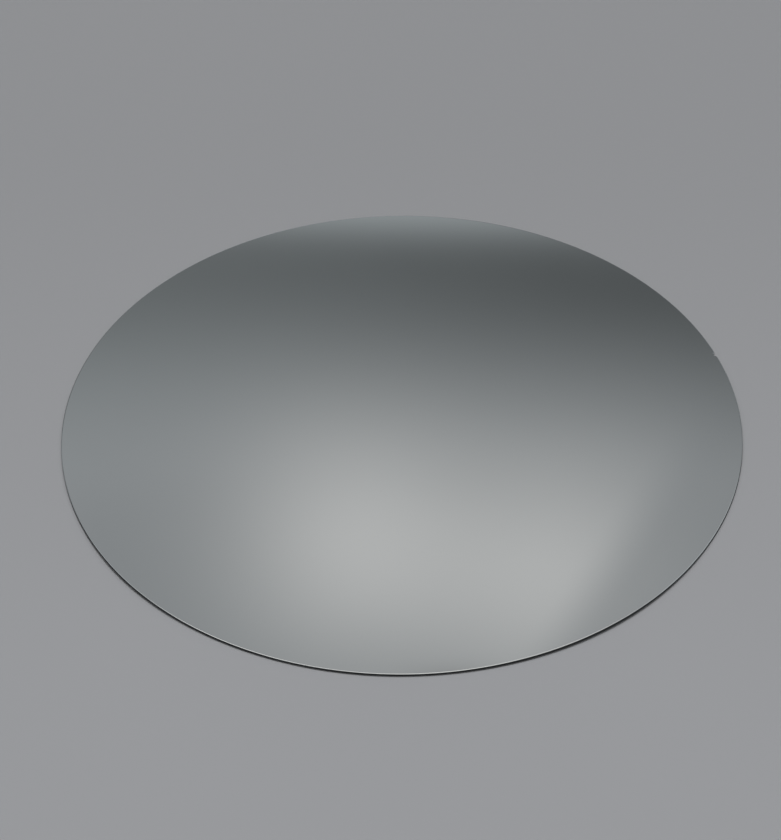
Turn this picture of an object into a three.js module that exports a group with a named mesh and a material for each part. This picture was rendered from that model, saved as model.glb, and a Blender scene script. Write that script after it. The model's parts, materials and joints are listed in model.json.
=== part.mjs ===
/**
 * Bare silicon wafer, 300 mm across, with a V-shaped orientation notch in its rim.
 *
 * It is one single-crystal plate: a mirror-polished front face on top, a flat back face below,
 * a rim that rounds over from one face to the other, and a small notch that shows which way the
 * crystal lies. A bare wafer has no second piece, so the group holds one mesh.
 *
 * Millimetres, +Z up. The origin is the centre of the back face, and the notch is at -Y, where
 * wafer drawings put it.
 */
import * as THREE from 'three';

// Driving dimensions
const DIAMETER = 300;
const THICKNESS = 0.775;
const RIM_WIDTH = 0.4; // how far in from the rim each face starts to round over
const RIM_HEIGHT = 0.2; // how much of the thickness each rounding takes
const NOTCH_DEPTH = 1.1; // from the wafer's circle to the bottom of the notch
const NOTCH_ANGLE = 90; // degrees between the two flanks
const NOTCH_ROOT_RADIUS = 1.0; // the hollow at the bottom of the notch
const NOTCH_LIP_RADIUS = 0.9; // where each flank rounds over into the circle

// Straight steps in each round stretch
const CIRCLE_STEPS = 240;
const NOTCH_ROOT_STEPS = 8;
const NOTCH_LIP_STEPS = 5;
const RIM_STEPS = 4;

// Looks of polished silicon, a dark blue-grey mirror
const SILICON_COLOR = 0xa1a5a7;
const SILICON_ROUGHNESS = 0.03;
const SILICON_METALNESS = 1;

const RADIUS = DIAMETER / 2;
const { PI } = Math;

/** Points along an arc about a centre, from one angle to another. */
function arc(centre, radius, from, to, clockwise, steps) {
  const { x, y } = centre;
  return new THREE.EllipseCurve(x, y, radius, radius, from, to, clockwise).getPoints(steps);
}

/**
 * The right-hand half of the notch, which the left-hand half mirrors in X: the centre of the root's
 * arc, the centre of the lip's arc, and the angle of the normal that points from the notch's gap
 * into the flank.
 */
function notchLayout() {
  const flankAngle = THREE.MathUtils.degToRad(NOTCH_ANGLE / 2);
  const intoFlank = new THREE.Vector2(Math.cos(flankAngle), Math.sin(flankAngle));
  const downFlank = new THREE.Vector2(Math.sin(flankAngle), -Math.cos(flankAngle));
  const root = new THREE.Vector2(0, -RADIUS + NOTCH_DEPTH - NOTCH_ROOT_RADIUS);

  // The lip's centre is one lip radius behind the flank and one lip radius inside the circle, so it
  // is where a line parallel to the flank crosses a circle smaller than the wafer's.
  const lineStart = root.clone().addScaledVector(intoFlank, NOTCH_ROOT_RADIUS + NOTCH_LIP_RADIUS);
  const lipReach = RADIUS - NOTCH_LIP_RADIUS;
  const along = lineStart.dot(downFlank);
  const flankLength = -along + Math.sqrt(along ** 2 - lineStart.lengthSq() + lipReach ** 2);
  const lip = lineStart.clone().addScaledVector(downFlank, flankLength);
  return { root, lip, flankAngle };
}

/** The wafer from above, anticlockwise: the long way round the circle, and then the notch. */
function outline() {
  const { root, lip, flankAngle } = notchLayout();
  const leftLip = new THREE.Vector2(-lip.x, lip.y);
  const circleStart = lip.angle() - 2 * PI;
  const circleEnd = PI - circleStart;
  const clockwise = true;
  const circle = arc(new THREE.Vector2(), RADIUS, circleStart, circleEnd, !clockwise, CIRCLE_STEPS);
  const left = arc(leftLip, NOTCH_LIP_RADIUS, circleEnd, 2 * PI - flankAngle, !clockwise, NOTCH_LIP_STEPS);
  const hollow = arc(root, NOTCH_ROOT_RADIUS, PI - flankAngle, flankAngle, clockwise, NOTCH_ROOT_STEPS);
  const right = arc(lip, NOTCH_LIP_RADIUS, PI + flankAngle, lip.angle(), !clockwise, NOTCH_LIP_STEPS);

  // The circle's last point is the left lip's first, and the right lip's last is the circle's first.
  return [...circle.slice(0, -1), ...left, ...hollow, ...right.slice(0, -1)];
}

/** The outline at full thickness, rounded over at both faces, round the circle and in the notch. */
function waferGeometry() {
  return new THREE.ExtrudeGeometry(new THREE.Shape(outline()), {
    depth: THICKNESS - 2 * RIM_HEIGHT,
    bevelThickness: RIM_HEIGHT,
    bevelSize: RIM_WIDTH,
    bevelOffset: -RIM_WIDTH,
    bevelSegments: RIM_STEPS,
  });
}

function makeWafer() {
  const silicon = new THREE.MeshStandardMaterial({
    color: SILICON_COLOR,
    roughness: SILICON_ROUGHNESS,
    metalness: SILICON_METALNESS,
  });
  const wafer = new THREE.Mesh(waferGeometry(), silicon);
  wafer.name = 'wafer';
  // The extrusion's straight wall starts at its own z = 0, so this puts the back face at z = 0.
  wafer.position.z = RIM_HEIGHT;
  return wafer;
}

const part = new THREE.Group();
part.add(makeWafer());

export default part;
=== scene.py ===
"""A bare silicon wafer, 300 mm across, lying on a pale floor under soft studio light.

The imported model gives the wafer's size and place. A finer mesh of the same shape stands for its
faceted solid, with a mirror-polished front face, a rounded rim, an orientation notch and a slightly
hazier back face. Lengths are in metres and angles in degrees, unless a name says otherwise.
"""

import json
import math

import bpy
from mathutils import Matrix, Vector


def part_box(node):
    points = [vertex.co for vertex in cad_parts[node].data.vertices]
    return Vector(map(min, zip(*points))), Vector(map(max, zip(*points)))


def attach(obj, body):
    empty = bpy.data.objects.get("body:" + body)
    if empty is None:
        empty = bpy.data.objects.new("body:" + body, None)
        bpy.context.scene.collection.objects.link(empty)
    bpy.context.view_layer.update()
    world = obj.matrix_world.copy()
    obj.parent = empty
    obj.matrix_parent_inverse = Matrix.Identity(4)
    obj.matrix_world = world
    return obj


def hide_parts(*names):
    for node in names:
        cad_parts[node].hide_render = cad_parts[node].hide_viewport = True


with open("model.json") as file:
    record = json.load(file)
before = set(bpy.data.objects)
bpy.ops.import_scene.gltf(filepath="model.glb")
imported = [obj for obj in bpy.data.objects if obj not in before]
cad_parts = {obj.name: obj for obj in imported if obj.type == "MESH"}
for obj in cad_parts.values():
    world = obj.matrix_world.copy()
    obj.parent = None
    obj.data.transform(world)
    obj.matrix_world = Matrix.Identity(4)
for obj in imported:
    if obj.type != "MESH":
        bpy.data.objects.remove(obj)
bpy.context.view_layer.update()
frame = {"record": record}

MM = 0.001

# ---------------------------------------------------------------- the wafer's dimensions
wafer_low, wafer_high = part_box("wafer")
RADIUS = wafer_high.y
THICKNESS = wafer_high.z - wafer_low.z
RIM_WIDTH = 0.4 * MM  # how far in from the rim each face starts to round over
RIM_HEIGHT = 0.2 * MM  # how much of the thickness each rounding takes
EDGE_START = 0.09 * MM  # height at which the polished rounding gives way to the ground edge, whose darker colour is painted shade
NOTCH_DEPTH = 1.1 * MM
NOTCH_ANGLE = 90  # between the two flanks
NOTCH_ROOT_RADIUS = 1.0 * MM
NOTCH_LIP_RADIUS = 0.9 * MM

# Straight steps in each round stretch
CIRCLE_STEPS = 1440
NOTCH_ROOT_STEPS = 32
NOTCH_LIP_STEPS = 24
FLANK_STEPS = 8
RIM_STEPS = 10
WALL_STEPS = 2

# ---------------------------------------------------------------- the camera
CAMERA_AZIMUTH = 255.2  # round from the notch's side
CAMERA_ELEVATION = 41.82
CAMERA_DISTANCE = 0.7786
CAMERA_LENS_MM = 75
CAMERA_PITCH = -0.21  # the camera's small turns away from the wafer's centre
CAMERA_YAW = -0.355
CAMERA_ROLL = -0.429


def unit_vector(bearing, elevation):
    """A direction in the studio: bearing 0 is straight behind the wafer, seen from the camera, and 90
    is to the camera's right."""
    heading = math.radians(CAMERA_AZIMUTH - bearing)
    rise = math.radians(elevation)
    return Vector((-math.sin(heading) * math.cos(rise), math.cos(heading) * math.cos(rise), math.sin(rise)))


# ---------------------------------------------------------------- the wafer's mesh

# The mesh's material slots, in the order of wafer_materials
FRONT, BEVEL, EDGE, BACK = range(4)


def arc(centre, radius, start, end, steps, hollow=False):
    """Points on an arc, each with the direction that points out of the silicon there. Angles are in
    radians. A hollow arc has the silicon outside it."""
    side = -1 if hollow else 1
    stations = []
    for i in range(steps + 1):
        angle = start + (end - start) * i / steps
        radial = Vector((math.cos(angle), math.sin(angle)))
        stations.append((centre + radial * radius, radial * side))
    return stations


def straight(first, last, steps):
    """The points between two stations that share one outward direction, without the ends."""
    (a, outward), (b, _) = first, last
    return [(a.lerp(b, i / steps), outward) for i in range(1, steps)]


def outline():
    """The wafer seen from above, anticlockwise: the long way round the circle, and then the notch."""
    flank = math.radians(NOTCH_ANGLE / 2)
    into_flank = Vector((math.cos(flank), math.sin(flank)))
    down_flank = Vector((math.sin(flank), -math.cos(flank)))
    root = Vector((0, -RADIUS + NOTCH_DEPTH - NOTCH_ROOT_RADIUS))

    # The lip's centre is where a line parallel to the flank crosses a circle one lip radius smaller.
    line_start = root + into_flank * (NOTCH_ROOT_RADIUS + NOTCH_LIP_RADIUS)
    lip_reach = RADIUS - NOTCH_LIP_RADIUS
    along = line_start.dot(down_flank)
    flank_length = -along + math.sqrt(along**2 - line_start.length_squared + lip_reach**2)
    lip = line_start + down_flank * flank_length
    left_lip = Vector((-lip.x, lip.y))

    circle_start = math.atan2(lip.y, lip.x)
    circle_end = math.pi - circle_start
    circle = arc(Vector((0, 0)), RADIUS, circle_start, circle_end, CIRCLE_STEPS)
    left = arc(left_lip, NOTCH_LIP_RADIUS, circle_end, 2 * math.pi - flank, NOTCH_LIP_STEPS)
    hollow = arc(root, NOTCH_ROOT_RADIUS, math.pi - flank, flank, NOTCH_ROOT_STEPS, hollow=True)
    right = arc(lip, NOTCH_LIP_RADIUS, math.pi + flank, 2 * math.pi + circle_start, NOTCH_LIP_STEPS)
    left_flank = straight(left[-1], hollow[0], FLANK_STEPS)
    right_flank = straight(hollow[-1], right[0], FLANK_STEPS)
    return circle[:-1] + left + left_flank + hollow + right_flank + right[:-1]


def rim_profile():
    """The rim in section, from the back face to the front: how far in from the outline, and height."""
    curve = []
    for i in range(RIM_STEPS + 1):
        angle = math.pi / 2 * i / RIM_STEPS
        curve.append((RIM_WIDTH * (1 - math.sin(angle)), RIM_HEIGHT * (1 - math.cos(angle))))
    wall_height = THICKNESS - 2 * RIM_HEIGHT
    wall = [(0, RIM_HEIGHT + wall_height * i / WALL_STEPS) for i in range(1, WALL_STEPS)]
    return curve + wall + [(inset, THICKNESS - height) for inset, height in reversed(curve)]


def wafer_mesh():
    """The rim as a strip of quads right round the outline, closed by one flat face at each end."""
    stations = outline()
    profile = rim_profile()
    count = len(stations)
    points = []
    for inset, height in profile:
        for place, outward in stations:
            edge = place - outward * inset
            points.append((edge.x, edge.y, wafer_low.z + height))

    faces = []
    for row in range(len(profile) - 1):
        for i in range(count):
            j = (i + 1) % count
            a, b = row * count, (row + 1) * count
            faces.append((a + i, a + j, b + j, b + i))
    rim_faces = len(faces)
    edge_rows = [EDGE_START <= height <= THICKNESS - EDGE_START for _, height in profile]
    finishes = [EDGE if low and high else BEVEL for low, high in zip(edge_rows, edge_rows[1:])]
    faces.append(tuple(range(len(points) - count, len(points))))
    faces.append(tuple(reversed(range(count))))

    mesh = bpy.data.meshes.new("polished_wafer")
    mesh.from_pydata(points, [], faces)
    mesh.polygons.foreach_set("use_smooth", [True] * rim_faces + [False, False])
    finish_of_faces = [finish for finish in finishes for _ in range(count)]
    mesh.polygons.foreach_set("material_index", finish_of_faces + [FRONT, BACK])
    mesh.update()
    return mesh


# ---------------------------------------------------------------- materials


def node_tree(owner):
    owner.use_nodes = True
    owner.node_tree.nodes.clear()
    return owner.node_tree


def add(tree, kind, settings=None, **inputs):
    """Adds a node, sets its properties, and sets or links its inputs by name or number."""
    node = tree.nodes.new(kind)
    for key, value in (settings or {}).items():
        setattr(node, key, value)
    for key, value in inputs.items():
        socket = node.inputs[int(key[1:])] if key[0] == "_" else node.inputs[key.replace("_", " ")]
        if isinstance(value, bpy.types.NodeSocket):
            tree.links.new(value, socket)
        else:
            socket.default_value = value
    return node


def mix(tree, share, first, second):
    """The first colour where the share is 0, and the second where it is 1."""
    settings = {"data_type": "RGBA"}
    return add(tree, "ShaderNodeMix", settings, Factor=share, _6=first, _7=second).outputs[2]


def scaled(colour, factor):
    return (*[channel * factor for channel in colour[:3]], 1)


SILICON = frame["record"]["materials"][0]["base_color"]
TONE_SPREAD = 0.015  # how far the tone wanders each way, as a share of itself
BLOTCH_DETAIL = 3
RELIEF_DETAIL = 2


def silicon(name, roughness, blotch_size, shade=1.0, grain=None):
    """Polished silicon. Its roughness wanders between two values in soft blotches, and its tone a
    little with it. A grain is the fine relief left by grinding or etching, given by its
    size along the faces, its size through the thickness, and its height."""
    material = bpy.data.materials.new(name)
    tree = node_tree(material)
    place = add(tree, "ShaderNodeTexCoord").outputs["Object"]
    noise = {"Vector": place, "Scale": 1 / blotch_size, "Detail": BLOTCH_DETAIL}
    blotches = add(tree, "ShaderNodeTexNoise", **noise).outputs[0]
    darker = scaled(SILICON, shade * (1 - TONE_SPREAD))
    paler = scaled(SILICON, shade * (1 + TONE_SPREAD))
    tone = mix(tree, blotches, darker, paler)
    smooth, rough = roughness
    gloss = add(tree, "ShaderNodeMapRange", Value=blotches, To_Min=smooth, To_Max=rough).outputs[0]
    shader = add(tree, "ShaderNodeBsdfPrincipled", Base_Color=tone, Metallic=1.0, Roughness=gloss)
    if grain:
        along, through, height = grain
        density = Vector((1 / along, 1 / along, 1 / through))
        spread = add(tree, "ShaderNodeVectorMath", {"operation": "MULTIPLY"}, _0=place, _1=density)
        noise = {"Vector": spread.outputs[0], "Scale": 1, "Detail": RELIEF_DETAIL}
        relief = add(tree, "ShaderNodeTexNoise", **noise)
        bump = add(tree, "ShaderNodeBump", Height=relief.outputs[0], Distance=height)
        tree.links.new(bump.outputs[0], shader.inputs["Normal"])
    add(tree, "ShaderNodeOutputMaterial", Surface=shader.outputs[0])
    return material


def wafer_materials():
    """In the order of the mesh's material slots."""
    edge_grain = (4 * MM, 0.05 * MM, 0.0015 * MM)
    back_grain = (0.5 * MM, 0.5 * MM, 0.0003 * MM)
    return [
        silicon("front_polish", (0.02, 0.05), 60 * MM),
        silicon("bevel_polish", (0.04, 0.08), 3 * MM),
        # shade=0.2 cuts the edge's colour to a fifth: painted shade, for the dark line of shadow and dark
        # reflection along the rim
        silicon("edge_ground_painted_shade", (0.25, 0.35), 1 * MM, shade=0.2, grain=edge_grain),
        silicon("back_polish", (0.08, 0.14), 25 * MM, shade=0.97, grain=back_grain),
    ]


def make_wafer():
    wafer = bpy.data.objects.new("polished_wafer", wafer_mesh())
    bpy.context.scene.collection.objects.link(wafer)
    for material in wafer_materials():
        wafer.data.materials.append(material)
    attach(wafer, "root")
    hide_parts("wafer")


# ---------------------------------------------------------------- floor, light and camera

FLOOR_REACH = 20
# In wafer radii
FLOOR_RINGS = (0.2, 0.4, 0.6, 0.7, 0.8, 0.9, 0.95, 1, 1.05, 1.1, 1.2, 1.35, 1.6, 2, 3, 10)
FLOOR_SECTORS = 144
FLOOR_GAP = 0.08 * MM  # the floor's paper isn't quite flat, so the wafer stands a hair above it
FLOOR_DIPS = ((145, 45 * MM, 0.45 * MM), (-128, 45 * MM, 0.50 * MM))  # bearing, radius and depth
FLOOR_COLOR = (0.151, 0.1545, 0.1625, 1)
FLOOR_SHADE = 0.85  # how much of that colour is left on the far side of the wafer: painted shade, for the studio light falling off towards the back
FLOOR_SHADE_REACH = 0.25  # from the wafer's centre to where the floor is at its palest or darkest
FLOOR_ROUGHNESS = 0.6


def floor_height(place):
    """The floor's height at a point: flat, but for shallow dips under the wafer's rim."""
    sag = 0
    for bearing, radius, depth in FLOOR_DIPS:
        middle = unit_vector(bearing, 0) * RADIUS
        sag += depth * math.exp(-(place - middle).length_squared / radius**2)
    return wafer_low.z - FLOOR_GAP - sag


def make_floor():
    """Rings of quads round the wafer's centre, close together near its rim."""
    rings = [RADIUS * share for share in FLOOR_RINGS] + [FLOOR_REACH]
    points = [Vector((0, 0, floor_height(Vector((0, 0, 0)))))]
    for ring in rings:
        for i in range(FLOOR_SECTORS):
            angle = 2 * math.pi * i / FLOOR_SECTORS
            place = Vector((ring * math.cos(angle), ring * math.sin(angle), 0))
            place.z = floor_height(place)
            points.append(place)
    faces = []
    for i in range(FLOOR_SECTORS):
        j = (i + 1) % FLOOR_SECTORS
        faces.append((0, 1 + i, 1 + j))
        for ring in range(len(rings) - 1):
            a, b = 1 + ring * FLOOR_SECTORS, 1 + (ring + 1) * FLOOR_SECTORS
            faces.append((a + i, b + i, b + j, a + j))
    mesh = bpy.data.meshes.new("floor")
    mesh.from_pydata(points, [], faces)
    mesh.polygons.foreach_set("use_smooth", [True] * len(faces))
    floor = bpy.data.objects.new("floor", mesh)
    bpy.context.scene.collection.objects.link(floor)
    material = bpy.data.materials.new("floor")
    tree = node_tree(material)
    place = add(tree, "ShaderNodeTexCoord").outputs["Object"]
    # The floor's colour darkens towards the back: painted shade for the light falling off there
    depth = dot(tree, place, unit_vector(0, 0))
    shade = soft_step(tree, depth, -FLOOR_SHADE_REACH, FLOOR_SHADE_REACH, 0, 1)
    tone = mix(tree, shade, FLOOR_COLOR, scaled(FLOOR_COLOR, FLOOR_SHADE))
    shader = add(tree, "ShaderNodeBsdfPrincipled", Base_Color=tone, Roughness=FLOOR_ROUGHNESS)
    add(tree, "ShaderNodeOutputMaterial", Surface=shader.outputs[0])
    mesh.materials.append(material)


# What the wafer reflects. Each patch of light has its bearing, elevation, half width, half height,
# brightness and, where it is squarer and crisper at its edges than a bell curve, how crisp it is. A
# negative brightness takes light away.
SOFTBOXES = {
    "main softbox": (-2.5, 46, 4, 4, 0.5),
    "overhead softbox": (-5, 66, 20, 9, 2, 3),
    "ceiling softbox": (40, 84, 8, 8, 0.9, 4),
}
FLAGGED_SOFTBOX = (7.5, 47, 4.5, 4, 0.5)  # the one on the right, partly shaded by the flag below
ROOM_GLOWS = {
    "backdrop's top edge": (2, 35, 20, 1, 0.5),
    "glow on the left wall": (-20, 39, 15, 4, 0.2),
    "dark gap below the overhead softbox": (3, 50.5, 1.5, 0.4, -0.2),
}

# A flag is a panel that shades part of a lamp. This one takes some of the flagged softbox's light to
# the right of a slanted edge, which runs between two points given by bearing and elevation.
FLAG_TOP = (8.5, 48)
FLAG_BOTTOM = (11.5, 44)
FLAG_BLUR = 1  # the shade comes in over this angle on each side of the edge
FLAG_SHADE = 0.65

HORIZON = 0.33
WALL = 0.21
WALL_FADE = (5, 33)  # elevations between which the horizon's brightness falls to the wall's
WALL_TOP = (37, 43.5)  # elevations between which the wall gives way to the ceiling
CEILING = 0.6
CAMERA_SIDE_CEILING = 0.2
CEILING_FADE = (-0.35, 0.25)  # how far towards the back a direction points where this starts and ends
SOFTBOX_COLOR = (1.075, 1, 0.922, 1)
WALL_COLOR = (0.96, 1, 0.995, 1)
CEILING_COLOR = (0.989, 1, 1, 1)

# Softboxes that stand round the rest of the studio, for the wafer to reflect at other angles: each
# ring's first and last bearing and the step between, and then the settings that its softboxes share
RINGS = {
    "low ring": (-8, 307, 45, (21, 11, 8, 0.6, 4)),
    "high ring": (36, 306, 45, (47, 8, 8, 0.6, 4)),
}

# Lamps that light the floor and aren't seen in the wafer: bearing, elevation and strength
LAMPS = {
    "rear_lamp": (0, 52, 4.35),
    "rear_left_lamp": (-45, 35, 0.75),
    "rear_right_lamp": (45, 35, 0.75),
}
LAMP_SPREAD = 11.5  # how wide each lamp looks from the wafer


def math_node(tree, operation, *values):
    node = add(tree, "ShaderNodeMath", {"operation": operation})
    for socket, value in zip(node.inputs, values):
        if isinstance(value, bpy.types.NodeSocket):
            tree.links.new(value, socket)
        else:
            socket.default_value = value
    return node.outputs[0]


def dot(tree, vector, direction):
    node = add(tree, "ShaderNodeVectorMath", {"operation": "DOT_PRODUCT"}, _0=vector, _1=direction)
    return node.outputs["Value"]


def soft_step(tree, value, low, high, start, end):
    settings = {"interpolation_type": "SMOOTHSTEP"}
    ends = {"From_Min": low, "From_Max": high, "To_Min": start, "To_Max": end}
    return add(tree, "ShaderNodeMapRange", settings, Value=value, **ends).outputs[0]


LEAST_AHEAD = 0.05  # a direction beside or behind a patch of light counts as this far ahead


def soft_light(tree, look, bearing, elevation, half_width, half_height, brightness, crispness=1):
    """A patch of light that fades from its middle like a bell curve. A higher crispness keeps it
    bright for longer, makes it fade faster and squares its corners."""
    towards = unit_vector(bearing, elevation)
    across = unit_vector(bearing + 90, 0)
    upward = across.cross(towards)
    ahead = math_node(tree, "MAXIMUM", dot(tree, look, towards), LEAST_AHEAD)
    sideways = dot(tree, look, across / math.tan(math.radians(half_width)))
    upwards = dot(tree, look, upward / math.tan(math.radians(half_height)))
    x = math_node(tree, "DIVIDE", sideways, ahead)
    y = math_node(tree, "DIVIDE", upwards, ahead)
    squares = [math_node(tree, "MULTIPLY", value, value) for value in (x, y)]
    x_part, y_part = [math_node(tree, "POWER", square, crispness) for square in squares]
    falloff = math_node(tree, "MULTIPLY", math_node(tree, "ADD", x_part, y_part), -1.0)
    bell = math_node(tree, "EXPONENT", falloff)
    return math_node(tree, "MULTIPLY", bell, brightness)


def soft_lights(tree, look, patches, light):
    """The light of all these patches, on top of some other light."""
    for settings in patches:
        light = math_node(tree, "ADD", soft_light(tree, look, *settings), light)
    return light


def make_studio():
    world = bpy.data.worlds.new("studio")
    bpy.context.scene.world = world
    tree = node_tree(world)
    look = add(tree, "ShaderNodeTexCoord").outputs["Generated"]
    rise = dot(tree, look, Vector((0, 0, 1)))
    depth = dot(tree, look, unit_vector(0, 0))
    low, high = [math.sin(math.radians(angle)) for angle in WALL_TOP]
    ceiling = soft_step(tree, depth, *CEILING_FADE, CAMERA_SIDE_CEILING, CEILING)
    above = soft_step(tree, rise, low, high, 0, 1)
    fade_low, fade_high = [math.sin(math.radians(angle)) for angle in WALL_FADE]
    wall = soft_step(tree, rise, fade_low, fade_high, HORIZON, WALL)
    light = math_node(tree, "MULTIPLY_ADD", math_node(tree, "SUBTRACT", ceiling, wall), above, wall)
    glows = list(ROOM_GLOWS.values())
    for first, last, step, shared in RINGS.values():
        glows += [(bearing, *shared) for bearing in range(first, last + 1, step)]
    light = soft_lights(tree, look, glows, light)

    past_flag = unit_vector(*FLAG_BOTTOM).cross(unit_vector(*FLAG_TOP)).normalized()
    blur = math.sin(math.radians(FLAG_BLUR))
    kept = soft_step(tree, dot(tree, look, past_flag), -blur, blur, 1, 1 - FLAG_SHADE)
    flagged = math_node(tree, "MULTIPLY", soft_light(tree, look, *FLAGGED_SOFTBOX), kept)
    soft = soft_lights(tree, look, SOFTBOXES.values(), flagged)
    colour = mix(tree, above, WALL_COLOR, CEILING_COLOR)
    room = add(tree, "ShaderNodeBackground", Color=colour, Strength=light)
    softboxes = add(tree, "ShaderNodeBackground", Color=SOFTBOX_COLOR, Strength=soft)
    both = add(tree, "ShaderNodeAddShader", _0=room.outputs[0], _1=softboxes.outputs[0])
    add(tree, "ShaderNodeOutputWorld", Surface=both.outputs[0])


def make_lamps():
    for name, (bearing, elevation, strength) in LAMPS.items():
        data = bpy.data.lights.new(name, "SUN")
        data.angle = math.radians(LAMP_SPREAD)
        data.energy = strength
        lamp = bpy.data.objects.new(name, data)
        bpy.context.scene.collection.objects.link(lamp)
        towards = unit_vector(bearing, elevation)
        lamp.location = towards
        lamp.rotation_euler = towards.to_track_quat("Z", "Y").to_euler()
        lamp.visible_glossy = False


def make_camera():
    camera = bpy.data.objects.new("camera", bpy.data.cameras.new("camera"))
    bpy.context.scene.collection.objects.link(camera)
    camera.data.lens = CAMERA_LENS_MM
    towards_camera = unit_vector(180, CAMERA_ELEVATION)
    right = unit_vector(90, 0)
    up = towards_camera.cross(right)
    facing = Matrix((right, up, towards_camera)).transposed().to_4x4()
    pitch = Matrix.Rotation(math.radians(CAMERA_PITCH), 4, "X")
    yaw = Matrix.Rotation(math.radians(-CAMERA_YAW), 4, "Y")
    roll = Matrix.Rotation(math.radians(CAMERA_ROLL), 4, "Z")
    place = Matrix.Translation(towards_camera * CAMERA_DISTANCE)
    camera.matrix_world = place @ facing @ pitch @ yaw @ roll
    bpy.context.scene.camera = camera


bpy.context.scene.view_settings.view_transform = "Standard"
make_camera()
make_floor()
make_studio()
make_lamps()
make_wafer()
